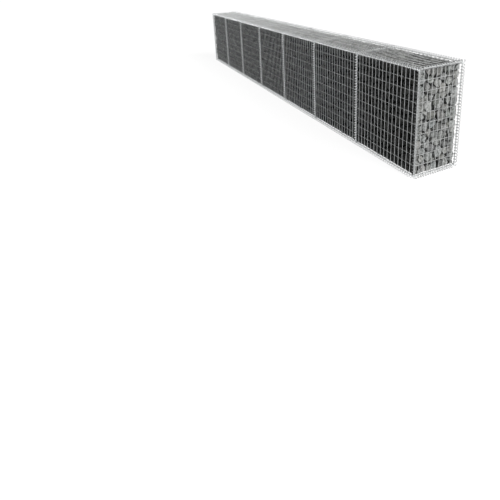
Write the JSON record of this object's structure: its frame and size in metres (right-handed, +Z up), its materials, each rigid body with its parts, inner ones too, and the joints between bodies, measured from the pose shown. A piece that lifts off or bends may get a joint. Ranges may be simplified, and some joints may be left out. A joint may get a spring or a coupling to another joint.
{
  "type": "gabion wall",
  "caption": "Low straight gabion wall: stone-filled bays of welded wire mesh, laced together and closed with spiral binders along every edge and joint.",
  "frame": {"origin": "under the middle of the wall, on the ground that the bottom spirals rest on", "axes": "+X along the wall, -Y towards its front, +Z up"},
  "size_m": [6.036, 0.536, 1.036],
  "materials": {
    "mesh_wire": "satin",
    "spiral_wire": "satin",
    "stone_fill": "matte"
  },
  "bodies": {
    "root": {"front_panel_1": "mesh_wire", "front_panel_2": "mesh_wire", "front_panel_3": "mesh_wire", "front_panel_4": "mesh_wire", "front_panel_5": "mesh_wire", "front_panel_6": "mesh_wire", "front_panel_7": "mesh_wire", "back_panel_1": "mesh_wire", "back_panel_2": "mesh_wire", "back_panel_3": "mesh_wire", "back_panel_4": "mesh_wire", "back_panel_5": "mesh_wire", "back_panel_6": "mesh_wire", "back_panel_7": "mesh_wire", "cover_panel_1": "mesh_wire", "cover_panel_2": "mesh_wire", "cover_panel_3": "mesh_wire", "cover_panel_4": "mesh_wire", "cover_panel_5": "mesh_wire", "cover_panel_6": "mesh_wire", "cover_panel_7": "mesh_wire", "base_panels": "mesh_wire", "end_panel_left": "mesh_wire", "end_panel_right": "mesh_wire", "divider_panels": "mesh_wire", "top_front_spiral": "spiral_wire", "top_back_spiral": "spiral_wire", "bottom_front_spiral": "spiral_wire", "bottom_back_spiral": "spiral_wire", "front_corner_spirals": "spiral_wire", "back_corner_spirals": "spiral_wire", "left_end_spirals": "spiral_wire", "right_end_spirals": "spiral_wire", "front_joint_spirals": "spiral_wire", "back_joint_spirals": "spiral_wire", "cover_joint_spirals": "spiral_wire", "base_joint_spirals": "spiral_wire", "stone_fill_1": "stone_fill", "stone_fill_2": "stone_fill", "stone_fill_3": "stone_fill", "stone_fill_4": "stone_fill", "stone_fill_5": "stone_fill", "stone_fill_6": "stone_fill", "stone_fill_7": "stone_fill"}
  },
  "joints": []
}
